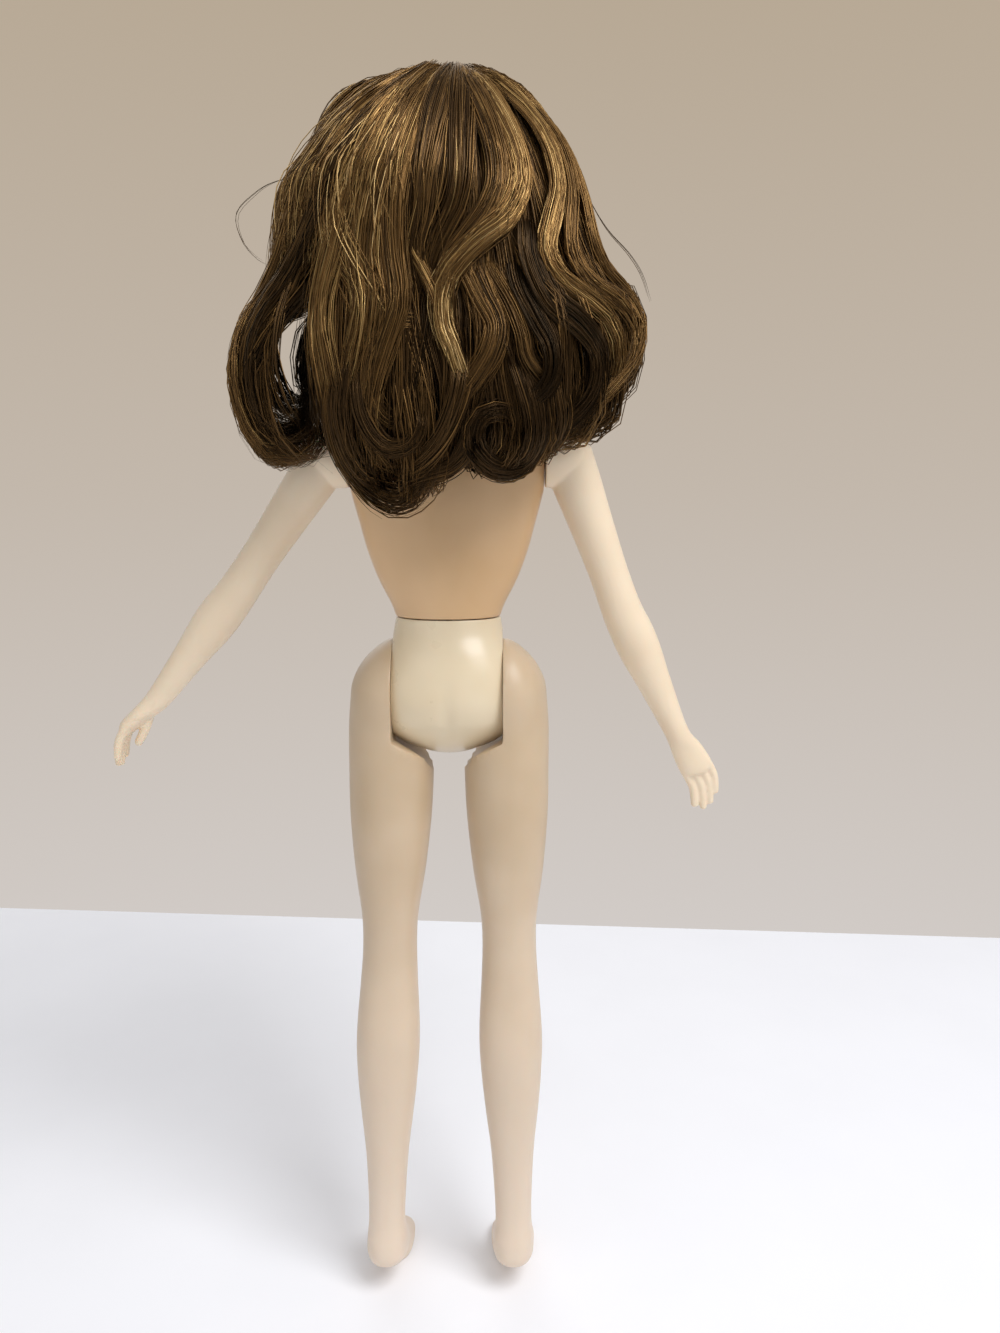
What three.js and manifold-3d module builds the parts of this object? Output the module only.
// Fashion doll with rooted hair, put together as the real one is: hollow hard plastic shells
// trap the plugs, pegs and posts that the vinyl arms, legs and head turn on.
// Millimetres, +Z up. The doll faces -Y, and its left side is +X.
import * as THREE from "three";
import { mergeVertices } from "three/addons/utils/BufferGeometryUtils.js";
import Module from "manifold-3d";

const wasm = await Module();
wasm.setup();

// Clearances and walls
const RUN_GAP = 0.3; // between pieces that turn on each other
const SEAM_GAP = 0.3; // between the two halves of a shell
const SCALP_GAP = 0.4; // between the scalp and the hair on it
const LOCK_GAP = 0.3; // between neighbouring locks of hair
const SHELL_WALL = 1.8; // hard plastic of the torso and pelvis
const VINYL_WALL = 2; // soft vinyl of the head

// Lengths from the floor up, stacked on each other
const HEEL_LIFT = 7.8; // floor to the underside of the arched heel
const ANKLE_RISE = 9.5; // heel to ankle
const SHIN_LENGTH = 67.5; // ankle to knee
const THIGH_LENGTH = 60; // knee to hip pivot
const WAIST_RISE = 19.2; // hip pivot to waist seam
const CHEST_RISE = 37.1; // waist seam to shoulder pivot
const SHOULDER_RISE = 14.7; // shoulder pivot to the foot of the neck
const NECK_LENGTH = 15; // foot of the neck to its top
const HEAD_HEIGHT = 44.7; // neck top to scalp
const HAIR_LOFT = 6.4; // hair above the scalp

// Torso and pelvis
const WAIST_WIDTH = 24.8;
const WAIST_DEPTH = 19;
const CHEST_WIDTH = 45;
const SHOULDER_WIDTH = 44.6; // between the flats that the arms turn on
const BUST_DEPTH = 16.2; // forward of the spine plane
const BACK_DEPTH = 10; // behind the spine plane
const NECK_RADIUS = 4.9;
const PELVIS_WIDTH = 26.4; // between the flats that the legs turn on
const SEAT_WIDTH = 35.2; // full roundness that the flats cut into
const SEAT_DEPTH = 14.6;
const SEAT_DROP = 13.3; // hip pivot to the lowest point of the pelvis
const BELLY_DEPTH = 12.8;

// Legs
const THIGH_WIDTH = 20.2;
const THIGH_DEPTH = 24;
const KNEE_WIDTH = 13;
const KNEE_DEPTH = 13.8;
const CALF_WIDTH = 15.1;
const CALF_DEPTH = 14.8;
const ANKLE_WIDTH = 8.8;
const ANKLE_DEPTH = 9;
const FOOT_LENGTH = 27; // heel to toes
const FOOT_WIDTH = 11;
const HIP_DOME_RADIUS = 13.6; // top of the leg, round the hip pivot
const LEG_SPREAD = 2; // how far the ankles stand out from under the hips
const LEG_LEAN = 16.5; // how far the ankles stand back, so that the toes carry the weight
const NOTCH_RADIUS = 11.8; // cone that clears the pelvis, at the flat of the leg
const NOTCH_SLOPE = 0.585; // how much the cone widens for each millimetre inwards
const NOTCH_DROP = 9.6; // hip pivot to the top of the sloping shelf inside the thigh
const SOLE_TRIM = 0.4; // ground off the ball of the foot to make a flat sole

// Arms
const SHOULDER_RADIUS = 7.4;
const SHOULDER_REACH = 10.5; // thickness of the rounded shoulder
const ARM_OFFSET = 5; // shoulder flat to the middle of the arm
const UPPER_ARM_LENGTH = 38;
const FOREARM_LENGTH = 33;
const PALM_LENGTH = 10;
const FINGER_LENGTH = 10;
const UPPER_ARM_WIDTH = 11;
const ELBOW_WIDTH = 9.6;
const FOREARM_WIDTH = 10;
const WRIST_WIDTH = 5.8;
const HAND_WIDTH = 8;
const HAND_THICKNESS = 4;

// Plugs, pegs and posts
const SHOULDER_STEM_RADIUS = 2.6;
const SHOULDER_FLANGE_RADIUS = 4;
const SHOULDER_FLANGE_THICK = 2;
const SHOULDER_SOCKET_WALL = 3.4; // wall that the plug's flange is trapped behind
const HIP_STEM_RADIUS = 3.2;
const HIP_FLANGE_RADIUS = 5.2;
const HIP_FLANGE_THICK = 2.2;
const HIP_BARB_RADIUS = 4.4;
const HIP_PEG_REACH = 6.5; // how deep the peg sits in the leg
const WAIST_STEM_RADIUS = 4;
const WAIST_FLANGE_RADIUS = 6.4;
const WAIST_FLANGE_THICK = 1.8;
const NECK_STEM_RADIUS = 2.4;
const NECK_FLANGE_RADIUS = 4;
const NECK_FLANGE_THICK = 2;
const NECK_BARB_RADIUS = 4.4;
const NECK_BARB_LENGTH = 5;

// Head
const HEAD_WIDTH = 32.4;
const FACE_DEPTH = 16;
const SKULL_DEPTH = 18;
const NOSE_LENGTH = 7;
const NOSE_REACH = 2.2;

// Hair
const LOCK_DEPTH = 5; // thickness of a lock that hangs clear of the head
const ROLL_THICK = 5.5; // thickness of the rolled ends
const TEMPLE_RISE = 23; // neck top to the level where the hair is as wide as the temples
const JAW_RISE = 7.5; // neck top to the level where the locks start to roll out
const HAIR_REACH = 37; // upright axis to the outside of the widest lock at the temples
const ROLL_WIDTH = 13; // half width of the widest rolled end
const ROLL_HEIGHT = 21; // half height of the same
const FRINGE_THICK = 2; // thickness of the fringe at the hairline
const CROWN_RADIUS = 0.6; // hole left at the swirl of the crown
const LOCK_SWELL = 0.07; // how much rounder a lock is in its middle than at its edges

// Levels worked out from the lengths
const ankleLevel = HEEL_LIFT + ANKLE_RISE;
const kneeLevel = ankleLevel + SHIN_LENGTH;
const hipLevel = kneeLevel + THIGH_LENGTH;
const waistLevel = hipLevel + WAIST_RISE;
const shoulderLevel = waistLevel + CHEST_RISE;
const neckLevel = shoulderLevel + SHOULDER_RISE + NECK_LENGTH;

// Facets
const BODY_SIDES = 28;
const LEG_SIDES = 18;
const ARM_SIDES = 14;
const FINGER_SIDES = 7;
const PEG_SIDES = 20;
const LOCK_STEPS = 5;

const degrees = THREE.MathUtils.degToRad;
const mix = THREE.MathUtils.lerp;
const point = (x, y, z) => new THREE.Vector3(x, y, z);

// Closed geometry to a solid that can be joined and cut.
function solid(geometry) {
  const bare = geometry.index ? geometry.toNonIndexed() : geometry.clone();
  bare.deleteAttribute("normal");
  bare.deleteAttribute("uv");
  const merged = mergeVertices(bare, 1e-4);
  const triVerts = new Uint32Array(merged.index.array);
  const vertProperties = merged.attributes.position.array;
  const made = new wasm.Manifold(new wasm.Mesh({ numProp: 3, vertProperties, triVerts }));
  if (made.volume() >= 0) return made;
  for (let i = 0; i < triVerts.length; i += 3) triVerts.subarray(i, i + 3).reverse();
  return new wasm.Manifold(new wasm.Mesh({ numProp: 3, vertProperties, triVerts }));
}

// Named mesh of a solid.
function piece(name, body, material) {
  const shape = body.getMesh();
  const geometry = new THREE.BufferGeometry();
  geometry.setAttribute("position", new THREE.BufferAttribute(shape.vertProperties, 3));
  geometry.setIndex(new THREE.BufferAttribute(shape.triVerts, 1));
  geometry.computeVertexNormals();
  const mesh = new THREE.Mesh(geometry, material);
  mesh.name = name;
  return mesh;
}

// Triangles that close a ring, found in the ring's own plane.
function capFaces(ring, first) {
  const normal = point(0, 0, 0);
  ring.forEach((p, i) => normal.add(point(0, 0, 0).crossVectors(p, ring[(i + 1) % ring.length])));
  const turn = new THREE.Quaternion().setFromUnitVectors(normal.normalize(), point(0, 0, 1));
  const flat = ring.map((p) => p.clone().applyQuaternion(turn));
  const outline = flat.map((p) => new THREE.Vector2(p.x, p.y));
  return THREE.ShapeUtils.triangulateShape(outline, []).map((face) => face.map((i) => i + first));
}

// Solid through a list of rings that hold the same number of points.
function loft(rings) {
  const sides = rings[0].length;
  const faces = [];
  for (let i = 0; i + 1 < rings.length; i++) {
    for (let j = 0; j < sides; j++) {
      const a = i * sides + j;
      const b = i * sides + ((j + 1) % sides);
      faces.push([a, b, a + sides], [b, b + sides, a + sides]);
    }
  }
  capFaces(rings[0], 0).forEach(([a, b, c]) => faces.push([a, c, b]));
  faces.push(...capFaces(rings.at(-1), (rings.length - 1) * sides));
  const geometry = new THREE.BufferGeometry().setFromPoints(rings.flat());
  geometry.setIndex(faces.flat());
  return solid(geometry);
}

// Solid turned about the X axis from [x, radius] pairs that start and end on the axis.
function turnedOnX(profile, sides = PEG_SIDES) {
  const outline = profile.map(([x, radius]) => new THREE.Vector2(radius, x));
  return solid(new THREE.LatheGeometry(outline, sides).rotateZ(-Math.PI / 2));
}

// Solid turned about the Z axis from [z, radius] pairs that start and end on the axis.
function turnedOnZ(profile, sides = PEG_SIDES) {
  const outline = profile.map(([z, radius]) => new THREE.Vector2(radius, z));
  return solid(new THREE.LatheGeometry(outline, sides).rotateX(Math.PI / 2));
}

function rod(from, to, radius) {
  return [
    [from, 0],
    [from, radius],
    [to, radius],
    [to, 0],
  ];
}

function box(low, high) {
  const size = high.clone().sub(low);
  const middle = low.clone().add(high).multiplyScalar(0.5);
  return solid(new THREE.BoxGeometry(size.x, size.y, size.z).translate(...middle));
}

// Cosine and sine of a superellipse: power 2 is an ellipse, more is squarer.
function roundedTurn(angle, power) {
  const soften = (value) => Math.sign(value) * Math.abs(value) ** (2 / power);
  return [soften(Math.cos(angle)), soften(Math.sin(angle))];
}

// Level ring of the body: half its width, and its depth forward and back.
function bodyRing(z, halfWidth, front, back, power = 2.2) {
  return Array.from({ length: BODY_SIDES }, (_, i) => {
    const [across, along] = roundedTurn((2 * Math.PI * i) / BODY_SIDES, power);
    return point(halfWidth * across, along * (along > 0 ? back : front), z);
  });
}

// Ring of a limb between two opposite points, with half its width across them.
function limbRing(start, end, across, halfWidth, sides, power = 2) {
  const middle = start.clone().add(end).multiplyScalar(0.5);
  const half = end.clone().sub(middle);
  return Array.from({ length: sides }, (_, i) => {
    const [along, side] = roundedTurn((2 * Math.PI * i) / sides, power);
    return middle.clone().addScaledVector(half, along).addScaledVector(across, side * halfWidth);
  });
}

// The two halves of a shell, parted on the plane through its sides.
function halves(body, reach) {
  const front = box(point(-reach, -reach, -reach), point(reach, -SEAM_GAP / 2, reach));
  const back = box(point(-reach, SEAM_GAP / 2, -reach), point(reach, reach, reach));
  return { front: body.intersect(front), back: body.intersect(back) };
}

// Materials
const hardBeige = new THREE.MeshStandardMaterial({ color: 0xd9c3a3, roughness: 0.38 });
const softVinyl = new THREE.MeshStandardMaterial({ color: 0xd6bda2, roughness: 0.52 });
const innerNylon = new THREE.MeshStandardMaterial({ color: 0xe6e0d4, roughness: 0.45 });
const brownHair = new THREE.MeshStandardMaterial({ color: 0x5a452c, roughness: 0.6 });

// Upper torso, on the waist seam. Rows: share of the rise, then shares of the way from
// the waist's half width, front and back to the chest's.
function chestRings(inset) {
  const rows = [
    [0, 0, 0, 0],
    [0.08, 0.1, 0.03, 0],
    [0.24, 0.4, 0.22, 0.1],
    [0.42, 0.63, 0.56, 0.2],
    [0.58, 0.79, 0.93, 0.5],
    [0.68, 0.89, 1, 0.8],
    [0.8, 1, 0.76, 1],
    [0.91, 1.1, 0.36, 1],
    [1.01, 1.12, 0.04, 0.7],
  ];
  return rows.map(([rise, width, front, back]) =>
    bodyRing(
      rise * CHEST_RISE + SEAM_GAP / 2,
      mix(WAIST_WIDTH, CHEST_WIDTH, width) / 2 - inset,
      mix(WAIST_DEPTH / 2, BUST_DEPTH, front) - inset,
      mix(WAIST_DEPTH / 2, BACK_DEPTH, back) - inset,
    ),
  );
}

// Shoulders up to the foot of the neck. Rows: share of the rise, then shares of the way
// from the neck's radius to the shoulder's half width, front and back.
function shoulderRings(inset) {
  const rows = [
    [0.29, 0.93, 0.72, 0.8],
    [0.44, 0.7, 0.46, 0.6],
    [0.59, 0.38, 0.28, 0.4],
    [0.76, 0.14, 0.13, 0.2],
    [1, 0.02, 0.03, 0.04],
  ];
  return rows.map(([rise, width, front, back]) =>
    bodyRing(
      CHEST_RISE + rise * SHOULDER_RISE,
      mix(NECK_RADIUS, CHEST_WIDTH / 2, width) - inset,
      mix(NECK_RADIUS, WAIST_DEPTH / 2, front) - inset,
      mix(NECK_RADIUS, WAIST_DEPTH / 2, back) - inset,
      2,
    ),
  );
}

const shoulderWallX = SHOULDER_WIDTH / 2 - SHOULDER_SOCKET_WALL;
const neckTop = CHEST_RISE + SHOULDER_RISE + NECK_LENGTH;
const neckSeat = CHEST_RISE + 0.44 * SHOULDER_RISE; // roof of the torso's hollow

function upperTorso() {
  const top = bodyRing(neckTop, NECK_RADIUS, NECK_RADIUS, NECK_RADIUS, 2);
  const outer = loft([...chestRings(0), ...shoulderRings(0), top]);
  const hollowRings = chestRings(SHELL_WALL);
  hollowRings[0].forEach((p) => p.setZ(p.z + SHELL_WALL));
  const [roofLow, roof] = shoulderRings(SHELL_WALL);
  const hollow = loft([...hollowRings, roofLow, roof]);
  const neckBore = turnedOnZ(rod(0, neckTop + RUN_GAP, NECK_STEM_RADIUS + RUN_GAP));
  const waistBore = turnedOnZ(rod(-SHELL_WALL, 2 * SHELL_WALL, WAIST_STEM_RADIUS + RUN_GAP));
  let body = outer.subtract(hollow).subtract(neckBore).subtract(waistBore);
  for (const side of [1, -1]) {
    const flat = SHOULDER_WIDTH / 2;
    const beyond = box(point(flat, -CHEST_WIDTH, 0), point(CHEST_WIDTH, CHEST_WIDTH, neckTop));
    const stemHole = turnedOnX(rod(0, CHEST_WIDTH, SHOULDER_STEM_RADIUS + RUN_GAP));
    const pocketFrom = shoulderWallX - SHOULDER_FLANGE_THICK - 2 * RUN_GAP;
    const pocket = turnedOnX(rod(pocketFrom, shoulderWallX, SHOULDER_FLANGE_RADIUS + RUN_GAP));
    const turned = side > 0 ? 0 : 180;
    body = body.subtract(beyond.rotate([0, 0, turned]));
    for (const cut of [stemHole, pocket]) {
      body = body.subtract(cut.rotate([0, 0, turned]).translate([0, 0, CHEST_RISE]));
    }
  }
  return halves(body, neckTop + CHEST_WIDTH);
}

// Barbed post that the head turns on: flange under the torso's roof, barb in the head.
function neckPost() {
  const flangeTop = neckSeat - RUN_GAP;
  const barbFoot = neckTop + RUN_GAP + VINYL_WALL + RUN_GAP;
  return turnedOnZ([
    [flangeTop - NECK_FLANGE_THICK, 0],
    [flangeTop - NECK_FLANGE_THICK, NECK_FLANGE_RADIUS],
    [flangeTop, NECK_FLANGE_RADIUS],
    [flangeTop, NECK_STEM_RADIUS],
    [barbFoot, NECK_STEM_RADIUS],
    [barbFoot, NECK_BARB_RADIUS],
    [barbFoot + NECK_BARB_LENGTH, NECK_STEM_RADIUS / 2],
    [barbFoot + NECK_BARB_LENGTH, 0],
  ]);
}

// Flanged spool that holds the torso to the pelvis and lets the waist twist.
function waistPivot() {
  const inner = SEAM_GAP / 2 + SHELL_WALL + RUN_GAP;
  const outer = inner + WAIST_FLANGE_THICK;
  return turnedOnZ([
    [-outer, 0],
    [-outer, WAIST_FLANGE_RADIUS],
    [-inner, WAIST_FLANGE_RADIUS],
    [-inner, WAIST_STEM_RADIUS],
    [inner, WAIST_STEM_RADIUS],
    [inner, WAIST_FLANGE_RADIUS],
    [outer, WAIST_FLANGE_RADIUS],
    [outer, 0],
  ]);
}

// Pelvis round the hip pivots: rows above hold the share of the rise to the waist and of the
// way from the waist's size to the seat's, rows below the share of the drop and of the seat.
function pelvisRings(inset) {
  const above = [
    [1, 0, 0, 0],
    [0.79, 0.15, 0.21, 0.16],
    [0.58, 0.5, 0.52, 0.43],
    [0.31, 0.85, 0.85, 0.78],
    [0.05, 1, 1, 1],
  ];
  const below = [
    [0.29, 0.93, 0.96, 0.96],
    [0.5, 0.81, 0.88, 0.87],
    [0.66, 0.66, 0.76, 0.74],
    [0.81, 0.47, 0.57, 0.55],
    [0.93, 0.26, 0.34, 0.32],
    [0.985, 0.125, 0.16, 0.15],
  ];
  const upper = above.map(([rise, width, front, back]) =>
    bodyRing(
      rise * WAIST_RISE - SEAM_GAP / 2,
      mix(WAIST_WIDTH, SEAT_WIDTH, width) / 2 - inset,
      mix(WAIST_DEPTH / 2, BELLY_DEPTH, front) - inset,
      mix(WAIST_DEPTH / 2, SEAT_DEPTH, back) - inset,
      mix(2, 2.6, width),
    ),
  );
  const lower = below.map(([drop, width, front, back]) =>
    bodyRing(
      -drop * SEAT_DROP,
      (width * SEAT_WIDTH) / 2 - inset,
      front * BELLY_DEPTH - inset,
      back * SEAT_DEPTH - inset,
      mix(2, 2.6, width),
    ),
  );
  return { upper, lower };
}

const pelvisFlat = PELVIS_WIDTH / 2;

function slab(halfWidth) {
  const reach = WAIST_RISE + SEAT_DROP + SEAT_DEPTH;
  return box(point(-halfWidth, -reach, -reach), point(halfWidth, reach, reach));
}

function pelvis() {
  const skin = pelvisRings(0);
  const outer = loft([...skin.upper, ...skin.lower]).intersect(slab(pelvisFlat));
  const inside = pelvisRings(SHELL_WALL);
  inside.upper[0].forEach((p) => p.setZ(p.z - SHELL_WALL));
  const lower = inside.lower.slice(0, 3);
  const hollow = loft([...inside.upper, ...lower]).intersect(slab(pelvisFlat - SHELL_WALL));
  const waistBore = turnedOnZ(
    rod(WAIST_RISE - 3 * SHELL_WALL, WAIST_RISE + SHELL_WALL, WAIST_STEM_RADIUS + RUN_GAP),
  );
  const hipBore = turnedOnX(rod(-PELVIS_WIDTH, PELVIS_WIDTH, HIP_STEM_RADIUS + RUN_GAP));
  const pocketReach = pelvisFlat - SHELL_WALL;
  const pocket = turnedOnX(rod(-pocketReach, pocketReach, HIP_FLANGE_RADIUS + RUN_GAP));
  const body = outer.subtract(hollow).subtract(waistBore).subtract(hipBore).subtract(pocket);
  return halves(body, WAIST_RISE + PELVIS_WIDTH + SEAT_DROP);
}

// Peg of one hip, from the middle outwards: flange in the pelvis, barb in the leg.
function hipPeg(side) {
  const flangeEnd = pelvisFlat - SHELL_WALL - RUN_GAP;
  const barbEnd = pelvisFlat + RUN_GAP + HIP_PEG_REACH;
  const barbFoot = barbEnd - HIP_FLANGE_THICK;
  const profile = [
    [flangeEnd - HIP_FLANGE_THICK, 0],
    [flangeEnd - HIP_FLANGE_THICK, HIP_FLANGE_RADIUS],
    [flangeEnd, HIP_FLANGE_RADIUS],
    [flangeEnd, HIP_STEM_RADIUS],
    [barbFoot, HIP_STEM_RADIUS],
    [barbFoot, HIP_BARB_RADIUS],
    [barbEnd, HIP_STEM_RADIUS],
    [barbEnd, 0],
  ];
  return turnedOnX(profile.map(([x, radius]) => [side * x, radius]));
}

const legFlat = pelvisFlat + RUN_GAP;
const legDrop = hipLevel - ankleLevel; // hip pivot to ankle

// Ring of a leg at a level below the hip, leaning back and out towards the ankle.
function legRing(side, level, halfWidth, front, back) {
  const drop = Math.max(0, -level) / legDrop;
  const x = side * (legFlat + LEG_SPREAD * drop);
  const y = LEG_LEAN * drop;
  const heel = point(x, y + back, level);
  const toe = point(x, y - front, level);
  return limbRing(heel, toe, point(1, 0, 0), halfWidth, LEG_SIDES, 2.15);
}

// Dome round the hip pivot, from its top down.
function hipDomeRings(side) {
  return [84, 70, 55, 38, 20, 0].map((angle) => {
    const level = HIP_DOME_RADIUS * Math.sin(degrees(angle));
    const depth = HIP_DOME_RADIUS * Math.cos(degrees(angle));
    const halfWidth = (THIGH_WIDTH / 2) * Math.cos(degrees(angle)) ** 1.5;
    return legRing(side, level, halfWidth, depth, depth);
  });
}

// Thigh rows: share of the way down to the knee, then of the way from the knee's size to
// the thigh's for the width, the front and the back.
function thighRings(side) {
  const rows = [
    [0.12, 1.04, 0.95, 1],
    [0.26, 1, 0.85, 0.92],
    [0.46, 0.9, 0.68, 0.68],
    [0.68, 0.55, 0.42, 0.36],
    [0.87, 0.08, 0.1, 0.1],
    [1, 0, 0.06, -0.06],
  ];
  return rows.map(([drop, width, front, back]) =>
    legRing(
      side,
      -drop * THIGH_LENGTH,
      mix(KNEE_WIDTH, THIGH_WIDTH, width) / 2,
      mix(KNEE_DEPTH, THIGH_DEPTH, front) / 2,
      mix(KNEE_DEPTH, THIGH_DEPTH, back) / 2,
    ),
  );
}

// Shin rows: share of the way down from the knee, then of the way from the ankle's size to
// the calf's. The front of the shin stays nearly straight while the calf swells behind.
function shinRings(side) {
  const rows = [
    [0.12, 0.78, 0.72, 0.58],
    [0.26, 0.97, 0.55, 0.94],
    [0.36, 1, 0.45, 1],
    [0.48, 0.84, 0.34, 0.86],
    [0.6, 0.58, 0.24, 0.6],
    [0.74, 0.26, 0.12, 0.28],
    [0.9, 0.05, 0.02, 0.05],
    [1, 0, 0, 0],
  ];
  return rows.map(([drop, width, front, back]) =>
    legRing(
      side,
      -THIGH_LENGTH - drop * SHIN_LENGTH,
      mix(ANKLE_WIDTH, CALF_WIDTH, width) / 2,
      mix(ANKLE_DEPTH / 2, KNEE_DEPTH / 2, front),
      mix(ANKLE_DEPTH / 2, CALF_DEPTH * 0.6, back),
    ),
  );
}

// Foot rows, from the heel to the toes: place of the ring's underside and of its top, each
// as shares of the foot's length forward of the ankle and of the ankle's rise above the ball,
// then the share of the foot's width. The underside runs down the arch to the flat ball.
function footRings(side) {
  const rows = [
    [-0.222, 0.73, 0.22, 0.88, 0.86],
    [-0.228, 0.53, 0.305, 0.71, 0.91],
    [-0.135, 0.402, 0.376, 0.57, 0.91],
    [0.021, 0.34, 0.433, 0.47, 0.86],
    [0.163, 0.134, 0.49, 0.41, 0.9],
    [0.234, 0, 0.54, 0.355, 0.97],
    [0.39, 0, 0.62, 0.28, 1],
    [0.567, 0, 0.71, 0.2, 0.9],
    [0.69, 0.02, 0.772, 0.11, 0.58],
  ];
  const x = side * (legFlat + LEG_SPREAD);
  const rise = ankleLevel + SOLE_TRIM;
  return rows.map(([lowReach, lowRise, highReach, highRise, width]) => {
    const low = point(x, LEG_LEAN - lowReach * FOOT_LENGTH, lowRise * rise - rise - legDrop);
    const high = point(x, LEG_LEAN - highReach * FOOT_LENGTH, highRise * rise - rise - legDrop);
    return limbRing(low, high, point(1, 0, 0), (width * FOOT_WIDTH) / 2, LEG_SIDES, 2.3);
  });
}

// Wedge inside the flat of a leg, above the shelf that slopes down to the middle of the doll.
function spaceAboveShelf(side, reach) {
  const slopeEnd = -NOTCH_DROP - NOTCH_SLOPE * (legFlat + reach);
  const outline = [
    [-reach, reach],
    [legFlat, reach],
    [legFlat, -NOTCH_DROP],
    [-reach, slopeEnd],
  ];
  return loft([-reach, reach].map((y) => outline.map(([x, z]) => point(side * x, y, z))));
}

// One leg round its hip pivot, with the cone that clears the pelvis and the peg's socket.
function leg(side) {
  const limb = loft([
    ...hipDomeRings(side),
    ...thighRings(side),
    ...shinRings(side),
    ...footRings(side),
  ]);
  const reach = 2 * THIGH_DEPTH;
  const cone = turnedOnX(
    [
      [0, 0],
      [0, NOTCH_RADIUS + NOTCH_SLOPE * legFlat],
      [side * legFlat, NOTCH_RADIUS],
      [side * legFlat, 0],
    ],
    2 * PEG_SIDES,
  );
  const barbEnd = legFlat + HIP_PEG_REACH;
  const barbFoot = barbEnd - HIP_FLANGE_THICK;
  const stemSocket = turnedOnX(rod(0, side * barbEnd, HIP_STEM_RADIUS + RUN_GAP));
  const barbSocket = turnedOnX(
    rod(side * (barbFoot - RUN_GAP), side * (barbEnd + RUN_GAP), HIP_BARB_RADIUS + RUN_GAP),
  );
  const floor = -hipLevel;
  const ground = box(point(-reach, -reach, floor - reach), point(reach, reach, floor));
  const cuts = [spaceAboveShelf(side, reach), cone, stemSocket, barbSocket, ground];
  return cuts.reduce((body, cut) => body.subtract(cut), limb);
}

// Way that an arm hangs: angles out from straight down, and whether the hand lies flat to
// the front and back or is turned edge on.
const LEFT_ARM = { upper: 35, fore: 38, palm: 48, fingers: 15, edgeOn: true };
const RIGHT_ARM = { upper: 20.5, fore: 25, palm: 30, fingers: 15, edgeOn: false };

const hang = (angle) => point(Math.sin(degrees(angle)), 0, -Math.cos(degrees(angle)));

// Joints of an arm from its shoulder flat, before it is mirrored for its side.
function armJoints(pose) {
  const shoulder = point(ARM_OFFSET, 0, 0);
  const elbow = shoulder.clone().addScaledVector(hang(pose.upper), UPPER_ARM_LENGTH);
  const wrist = elbow.clone().addScaledVector(hang(pose.fore), FOREARM_LENGTH);
  const knuckles = wrist.clone().addScaledVector(hang(pose.palm), PALM_LENGTH);
  return { shoulder, elbow, wrist, knuckles };
}

// Ring across an arm: half its width in the plane of the arm, and half its depth.
function armRing(centre, angle, halfWidth, halfDepth, sides = ARM_SIDES) {
  const across = point(Math.cos(degrees(angle)), 0, Math.sin(degrees(angle)));
  const inner = centre.clone().addScaledVector(across, -halfWidth);
  const outer = centre.clone().addScaledVector(across, halfWidth);
  return limbRing(inner, outer, point(0, 1, 0), halfDepth, sides);
}

function armLimb(pose) {
  const { shoulder, elbow, wrist, knuckles } = armJoints(pose);
  const bend = (pose.upper + pose.fore) / 2;
  const handWidth = (pose.edgeOn ? HAND_THICKNESS : HAND_WIDTH) / 2;
  const handDepth = (pose.edgeOn ? HAND_WIDTH : HAND_THICKNESS) / 2;
  const wristHalf = WRIST_WIDTH / 2;
  const along = (from, to, share) => from.clone().lerp(to, share);
  const upper = [
    [0, 1.08],
    [0.22, 1.02],
    [0.45, 0.93],
    [0.75, 0.83],
  ].map(([share, size]) => {
    const half = (size * UPPER_ARM_WIDTH) / 2;
    return armRing(along(shoulder, elbow, share), pose.upper, half, half);
  });
  const fore = [
    [0.18, 1.02],
    [0.35, 0.98],
    [0.62, 0.78],
  ].map(([share, size]) => {
    const half = (size * FOREARM_WIDTH) / 2;
    return armRing(along(elbow, wrist, share), pose.fore, half, half * 0.95);
  });
  const palmBend = (pose.fore + pose.palm) / 2;
  return loft([
    ...upper,
    armRing(elbow, bend, ELBOW_WIDTH / 2, ELBOW_WIDTH / 2),
    ...fore,
    armRing(wrist, palmBend, wristHalf, wristHalf),
    armRing(along(wrist, knuckles, 0.5), pose.palm, mix(wristHalf, handWidth, 0.7), handDepth * 0.95),
    armRing(knuckles, (pose.palm + pose.fingers) / 2, handWidth, handDepth),
  ]);
}

// Tapered finger from a knuckle: angles of its two bones out from straight down.
function finger(root, angles, length, radius, lean) {
  const tipward = (angle) => hang(angle).add(point(0, lean, 0));
  const middle = root.clone().addScaledVector(tipward(angles[0]), length / 2);
  const tip = middle.clone().addScaledVector(tipward(angles[1]), length / 2);
  const start = root.clone().addScaledVector(tipward(angles[0]), -radius);
  const end = tip.clone().addScaledVector(tipward(angles[1]), radius * 0.6);
  return loft([
    armRing(start, angles[0], radius, radius, FINGER_SIDES),
    armRing(middle, (angles[0] + angles[1]) / 2, radius * 0.95, radius * 0.95, FINGER_SIDES),
    armRing(tip, angles[1], radius * 0.8, radius * 0.8, FINGER_SIDES),
    armRing(end, angles[1], radius * 0.35, radius * 0.35, FINGER_SIDES),
  ]);
}

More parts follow.
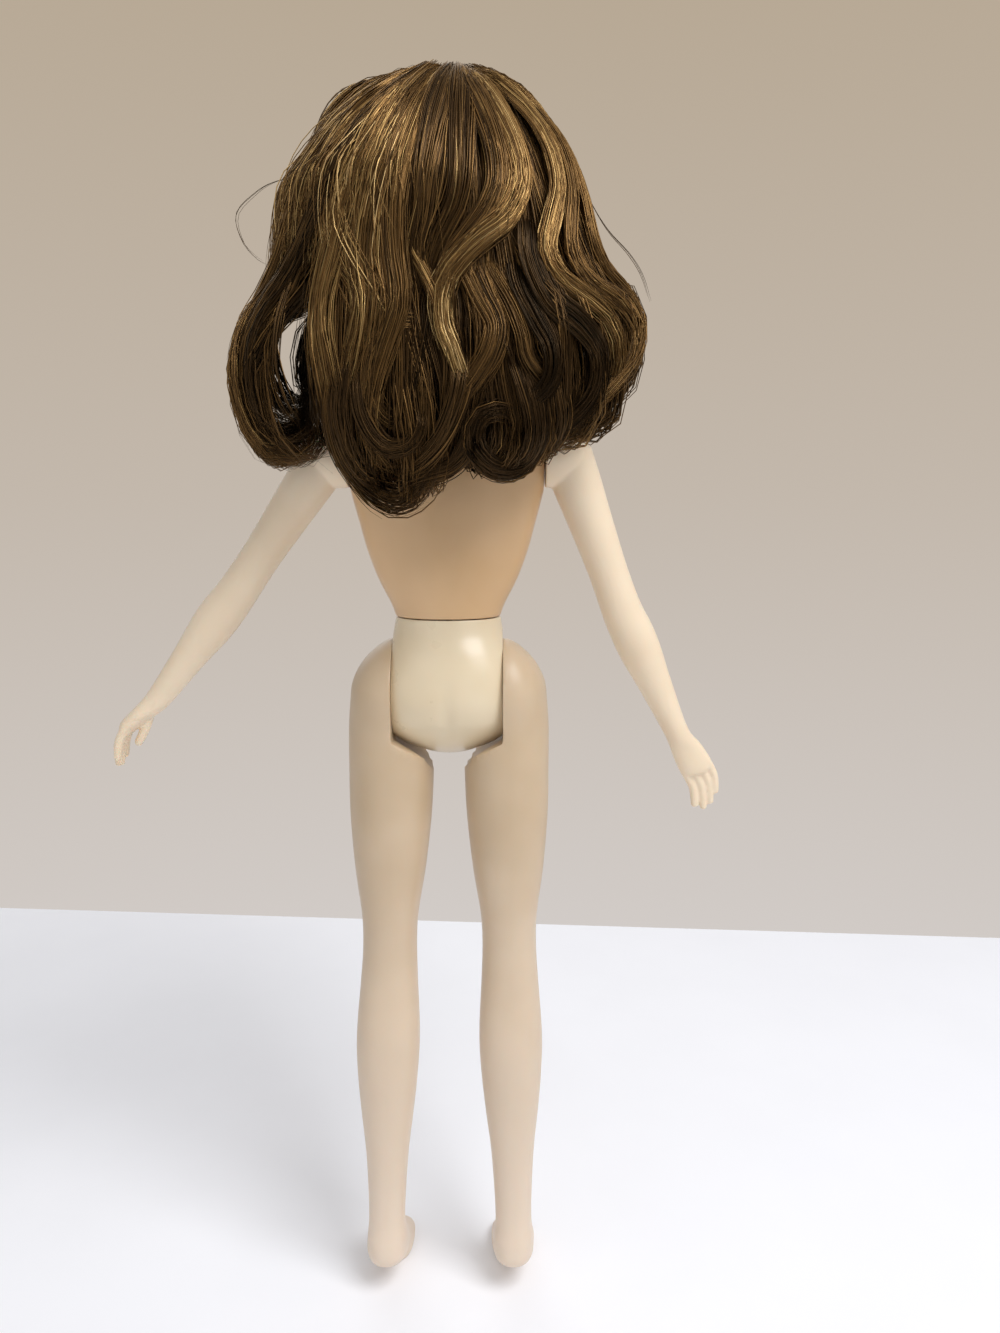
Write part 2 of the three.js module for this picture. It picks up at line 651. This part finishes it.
// Four fingers side by side across the hand, and a thumb on the palm's side.
function fingers(pose) {
  const { wrist, knuckles } = armJoints(pose);
  const pitch = HAND_WIDTH / 4.1;
  const lengths = [0.84, 1, 0.96, 0.78];
  const inPlane = point(Math.cos(degrees(pose.palm)), 0, Math.sin(degrees(pose.palm)));
  const spread = pose.edgeOn ? point(0, 1, 0) : inPlane;
  const made = lengths.map((share, i) => {
    const root = knuckles.clone().addScaledVector(spread, (i - 1.5) * pitch);
    return finger(root, [pose.fingers + 12, pose.fingers - 8], share * FINGER_LENGTH, pitch * 0.56, 0);
  });
  const palmSide = pose.edgeOn ? inPlane.clone().negate() : point(0, -1, 0);
  const heel = wrist.clone().lerp(knuckles, 0.45).addScaledVector(palmSide, HAND_THICKNESS * 0.35);
  const lean = pose.edgeOn ? 0 : -0.45;
  const thumb = finger(heel, [pose.palm - 28, pose.palm - 20], FINGER_LENGTH * 0.75, pitch * 0.62, lean);
  return [...made, thumb];
}

// One arm from its shoulder flat, with the plug that the torso shells trap.
function arm(side, pose) {
  const wallInside = -SHOULDER_SOCKET_WALL - 2 * RUN_GAP;
  const shoulder = turnedOnX(
    [
      [wallInside - SHOULDER_FLANGE_THICK, 0],
      [wallInside - SHOULDER_FLANGE_THICK, SHOULDER_FLANGE_RADIUS],
      [wallInside, SHOULDER_FLANGE_RADIUS],
      [wallInside, SHOULDER_STEM_RADIUS],
      [0, SHOULDER_STEM_RADIUS],
      [0, SHOULDER_RADIUS],
      [SHOULDER_REACH * 0.35, SHOULDER_RADIUS],
      [SHOULDER_REACH * 0.7, SHOULDER_RADIUS * 0.82],
      [SHOULDER_REACH * 0.9, SHOULDER_RADIUS * 0.5],
      [SHOULDER_REACH, 0],
    ],
    PEG_SIDES,
  );
  const joined = fingers(pose).reduce((body, part) => body.add(part), shoulder.add(armLimb(pose)));
  return side > 0 ? joined : joined.mirror([1, 0, 0]);
}

// Head rows from the neck rim to the scalp: share of the height, then of the half width, the
// face's depth and the skull's depth.
const HEAD_ROWS = [
  [0, 0.4, 0.36, 0.4],
  [0.04, 0.55, 0.6, 0.52],
  [0.1, 0.62, 0.9, 0.62],
  [0.18, 0.74, 0.98, 0.73],
  [0.27, 0.85, 1, 0.84],
  [0.37, 0.93, 0.99, 0.93],
  [0.48, 0.985, 0.965, 0.985],
  [0.59, 1, 1, 1],
  [0.7, 0.985, 1, 0.985],
  [0.81, 0.91, 0.91, 0.915],
  [0.91, 0.74, 0.73, 0.75],
  [0.97, 0.49, 0.48, 0.5],
  [1, 0.18, 0.18, 0.18],
];
const headRim = RUN_GAP; // the head sits this far above the neck's top
const headLevels = HEAD_ROWS.map(([rise]) => mix(headRim, HEAD_HEIGHT, rise));

function headRings(inset) {
  return HEAD_ROWS.map(([rise, width, front, back]) =>
    bodyRing(
      mix(headRim + inset, HEAD_HEIGHT - inset, rise),
      (width * HEAD_WIDTH) / 2 - inset * 0.9,
      front * FACE_DEPTH - inset * 0.9,
      back * SKULL_DEPTH - inset * 0.9,
      2.1,
    ),
  );
}

// Hollow vinyl head with a small nose, open at the neck.
function headShell() {
  const hollow = loft(headRings(VINYL_WALL));
  const bore = turnedOnZ(rod(-VINYL_WALL, 2 * VINYL_WALL, NECK_STEM_RADIUS + RUN_GAP));
  const bridge = point(0, -FACE_DEPTH * 0.93, HEAD_HEIGHT * 0.5);
  const tip = bridge.clone().add(point(0, -NOSE_REACH * 1.1, -NOSE_LENGTH));
  const ridge = tip.clone().lerp(bridge, 0.5).add(point(0, -NOSE_REACH * 0.3, 0));
  const deep = point(0, FACE_DEPTH * 0.2, 0);
  const nose = loft(
    [
      [bridge, 0.16],
      [ridge, 0.24],
      [tip, 0.32],
      [tip.clone().add(point(0, NOSE_REACH * 0.7, -NOSE_REACH * 0.6)), 0.26],
    ].map(([front, width]) =>
      limbRing(front.clone().add(deep), front, point(1, 0, 0), width * NOSE_LENGTH, FINGER_SIDES + 1),
    ),
  );
  return loft(headRings(0)).add(nose).subtract(hollow).subtract(bore);
}

// Distance of the scalp from the head's upright axis, at an angle round it and a level.
function scalpRadius(angle, level) {
  const rise = Math.min(1, (level - headRim) / (HEAD_HEIGHT - headRim));
  if (rise <= 0) return 0;
  const next = HEAD_ROWS.findIndex((row) => row[0] >= rise);
  const [low, high] = [HEAD_ROWS[Math.max(0, next - 1)], HEAD_ROWS[next]];
  const share = high[0] > low[0] ? (rise - low[0]) / (high[0] - low[0]) : 0;
  const [, width, front, back] = low.map((value, i) => mix(value, high[i], share));
  const depth = Math.sin(angle) > 0 ? back * SKULL_DEPTH : front * FACE_DEPTH;
  const across = Math.abs(Math.cos(angle)) / ((width * HEAD_WIDTH) / 2);
  const along = Math.abs(Math.sin(angle)) / depth;
  return (across ** 2.1 + along ** 2.1) ** (-1 / 2.1);
}

// Locks of hair round the head's upright axis. Angles run from the doll's left round the back.
// temple and jaw are shares of the hair's reach, for how far the lock's outside stands from the
// axis at those two levels. roll is the rolled end: distance of its middle from the axis as a
// share of the reach, its level below the neck top and its half height as shares of the roll's
// height, and its half width as a share of the roll's. A lock with full reaches in to the scalp.
const LOCKS = [
  { name: "hair_left_temple", from: -46, to: -16, temple: 0.75, jaw: 0.77, full: true },
  { name: "hair_left_side", from: -16, to: 18, temple: 0.95, jaw: 1.02, full: true },
  { name: "hair_left_roll", from: 18, to: 44, temple: 0.96, jaw: 1.04 },
  { name: "hair_back_left", from: 44, to: 71, temple: 0.88, jaw: 0.92 },
  { name: "hair_back_centre", from: 71, to: 97, temple: 0.84, jaw: 0.865 },
  { name: "hair_back_right", from: 97, to: 128, temple: 0.84, jaw: 0.89 },
  { name: "hair_right_roll", from: 128, to: 162, temple: 0.85, jaw: 0.99 },
  { name: "hair_right_side", from: 162, to: 196, temple: 0.86, jaw: 0.99, full: true },
  { name: "hair_right_temple", from: 196, to: 226, temple: 0.73, jaw: 0.755, full: true },
];
const ROLLS = {
  hair_left_temple: { reach: 0.675, drop: 0.14, wide: 0.58, high: 0.67 },
  hair_left_side: { reach: 0.98, drop: 0.25, wide: 0.77, high: 0.76 },
  hair_left_roll: { reach: 1.08, drop: 0.74, wide: 0.77, high: 0.79 },
  hair_back_left: { reach: 0.755, drop: 0.68, wide: 0.72, high: 0.98 },
  hair_back_centre: { reach: 0.7, drop: 0.88, wide: 0.73, high: 1.06 },
  hair_back_right: { reach: 0.73, drop: 0.72, wide: 0.72, high: 0.93 },
  hair_right_roll: { reach: 0.9, drop: 0.42, wide: 0.81, high: 0.87 },
  hair_right_side: { reach: 0.9, drop: 0.17, wide: 0.82, high: 0.76 },
  hair_right_temple: { reach: 0.65, drop: 0.14, wide: 0.58, high: 0.67 },
};
// Short locks swept to each side of the parting, with the hairline's level as shares of the head's.
const FRINGE = [
  { name: "hair_fringe_right", from: 226, to: 260, temple: 0.53, hairline: [0.54, 0.76] },
  { name: "hair_fringe_left", from: 260, to: 314, temple: 0.55, hairline: [0.78, 0.515] },
];
const hairTop = HEAD_HEIGHT + HAIR_LOFT;

// Points of an ellipse between two angles, as [radius, level] pairs.
function ellipseArc(middle, level, halfWidth, halfHeight, angles) {
  return angles.map((angle) => [
    middle + halfWidth * Math.cos(degrees(angle)),
    level + halfHeight * Math.sin(degrees(angle)),
  ]);
}

// Outline of a long lock in its own upright plane: down the outside, round the rolled end,
// back inside the roll and up to the crown again.
function lockOutline(lock, angle) {
  const roll = ROLLS[lock.name];
  const middle = roll.reach * HAIR_REACH;
  const level = -roll.drop * ROLL_HEIGHT;
  const halfWidth = roll.wide * ROLL_WIDTH;
  const halfHeight = roll.high * ROLL_HEIGHT;
  const temple = lock.temple * HAIR_REACH;
  const jaw = lock.jaw * HAIR_REACH;
  const outside = [
    [CROWN_RADIUS, hairTop],
    [temple * 0.5, hairTop - 0.5 * HAIR_LOFT],
    [temple * 0.77, hairTop - 1.9 * HAIR_LOFT],
    [temple * 0.9, hairTop - 2.95 * HAIR_LOFT],
    [temple, TEMPLE_RISE],
    [jaw, JAW_RISE],
  ];
  const rolled = ellipseArc(middle, level, halfWidth, halfHeight, [30, 0, -35, -70, -105, -140, -175]);
  const inside = ellipseArc(
    middle,
    level,
    halfWidth - ROLL_THICK * 0.8,
    halfHeight - ROLL_THICK,
    [-175, -130, -80, -30, 15, 55],
  );
  const hanging = [
    [jaw - LOCK_DEPTH, JAW_RISE * 0.8],
    [temple - LOCK_DEPTH, TEMPLE_RISE],
    [temple * 0.9 - LOCK_DEPTH, hairTop - 3.1 * HAIR_LOFT],
    [temple * 0.77 - LOCK_DEPTH * 0.8, hairTop - 1.9 * HAIR_LOFT - LOCK_DEPTH * 0.8],
    [temple * 0.4, HEAD_HEIGHT - 3 * SCALP_GAP],
  ];
  const onScalp = headLevels
    .filter((height) => height > JAW_RISE * 0.8)
    .map((height) => [scalpRadius(angle, height) + SCALP_GAP, height]);
  const up = lock.full ? onScalp : hanging;
  return [...outside, ...rolled, ...inside, ...up, [CROWN_RADIUS, HEAD_HEIGHT + SCALP_GAP]];
}

// Outline of a short lock that lies on the forehead from the crown to the hairline.
function fringeOutline(lock, angle, share) {
  const edge = mix(...lock.hairline, share) * HEAD_HEIGHT;
  const highest = Math.max(...lock.hairline) * HEAD_HEIGHT;
  const rows = headLevels.filter((level) => level > highest);
  const levels = [edge, mix(edge, rows[0], 0.35), mix(edge, rows[0], 0.7), ...rows];
  const scalp = levels.map((level) => [scalpRadius(angle, level) + SCALP_GAP, level]);
  const temple = lock.temple * HAIR_REACH;
  return [
    [CROWN_RADIUS, hairTop],
    [temple * 0.48, hairTop - 0.27 * HAIR_LOFT],
    [temple * 0.82, hairTop - 0.92 * HAIR_LOFT],
    [temple, mix(edge, hairTop, 0.55)],
    [temple * 0.97, mix(edge, hairTop, 0.25)],
    [scalp[0][0] + FRINGE_THICK, edge - FRINGE_THICK / 2],
    ...scalp,
    [CROWN_RADIUS, HEAD_HEIGHT + SCALP_GAP],
  ];
}

// Solid of a lock: its outline carried round the axis, a little fuller in the middle, and
// drawn in at both edges by half the gap to the next lock.
function lockSolid(lock, outline) {
  const rings = [];
  for (let step = 0; step <= LOCK_STEPS; step++) {
    const share = step / LOCK_STEPS;
    const edge = 2 * share - 1;
    const angle = degrees(mix(lock.from, lock.to, share));
    const tangent = point(-Math.sin(angle), Math.cos(angle), 0);
    const ring = outline(lock, angle, share).map(([radius, level]) => {
      const fullness = 1 - LOCK_SWELL * edge * edge;
      const least = scalpRadius(angle, level) + SCALP_GAP;
      const out = radius < least + SCALP_GAP ? radius : Math.max(least, radius * fullness);
      const spot = point(out * Math.cos(angle), out * Math.sin(angle), level);
      return spot.addScaledVector(tangent, (-edge * LOCK_GAP) / 2);
    });
    rings.push(ring);
  }
  return loft(rings);
}

// Assembly: each group sits at the pivot that its pieces turn on.
const doll = new THREE.Group();

const hips = new THREE.Group();
hips.position.z = hipLevel;
const { front: pelvisFront, back: pelvisBack } = pelvis();
hips.add(piece("pelvis_front", pelvisFront, hardBeige));
hips.add(piece("pelvis_back", pelvisBack, hardBeige));
for (const [word, side] of [["left", 1], ["right", -1]]) {
  hips.add(piece(`${word}_hip_peg`, hipPeg(side), innerNylon));
  hips.add(piece(`${word}_leg`, leg(side), softVinyl));
}
doll.add(hips);

const waist = new THREE.Group();
waist.position.z = waistLevel;
const { front: torsoFront, back: torsoBack } = upperTorso();
waist.add(piece("waist_pivot", waistPivot(), innerNylon));
waist.add(piece("upper_torso_front", torsoFront, hardBeige));
waist.add(piece("upper_torso_back", torsoBack, hardBeige));
waist.add(piece("neck_post", neckPost(), innerNylon));
doll.add(waist);

for (const [word, side, pose] of [["left", 1, LEFT_ARM], ["right", -1, RIGHT_ARM]]) {
  const shoulder = new THREE.Group();
  shoulder.position.set(side * (SHOULDER_WIDTH / 2 + RUN_GAP), 0, shoulderLevel);
  shoulder.add(piece(`${word}_arm`, arm(side, pose), softVinyl));
  doll.add(shoulder);
}

const head = new THREE.Group();
head.position.z = neckLevel;
head.add(piece("head_shell", headShell(), softVinyl));
for (const lock of LOCKS) head.add(piece(lock.name, lockSolid(lock, lockOutline), brownHair));
for (const lock of FRINGE) head.add(piece(lock.name, lockSolid(lock, fringeOutline), brownHair));
doll.add(head);

// Origin under the middle of the whole doll, on the surface that it stands on.
const extent = new THREE.Box3().setFromObject(doll);
const middle = extent.getCenter(point(0, 0, 0));
doll.children.forEach((group) => group.position.sub(point(middle.x, middle.y, extent.min.z)));

export default doll;
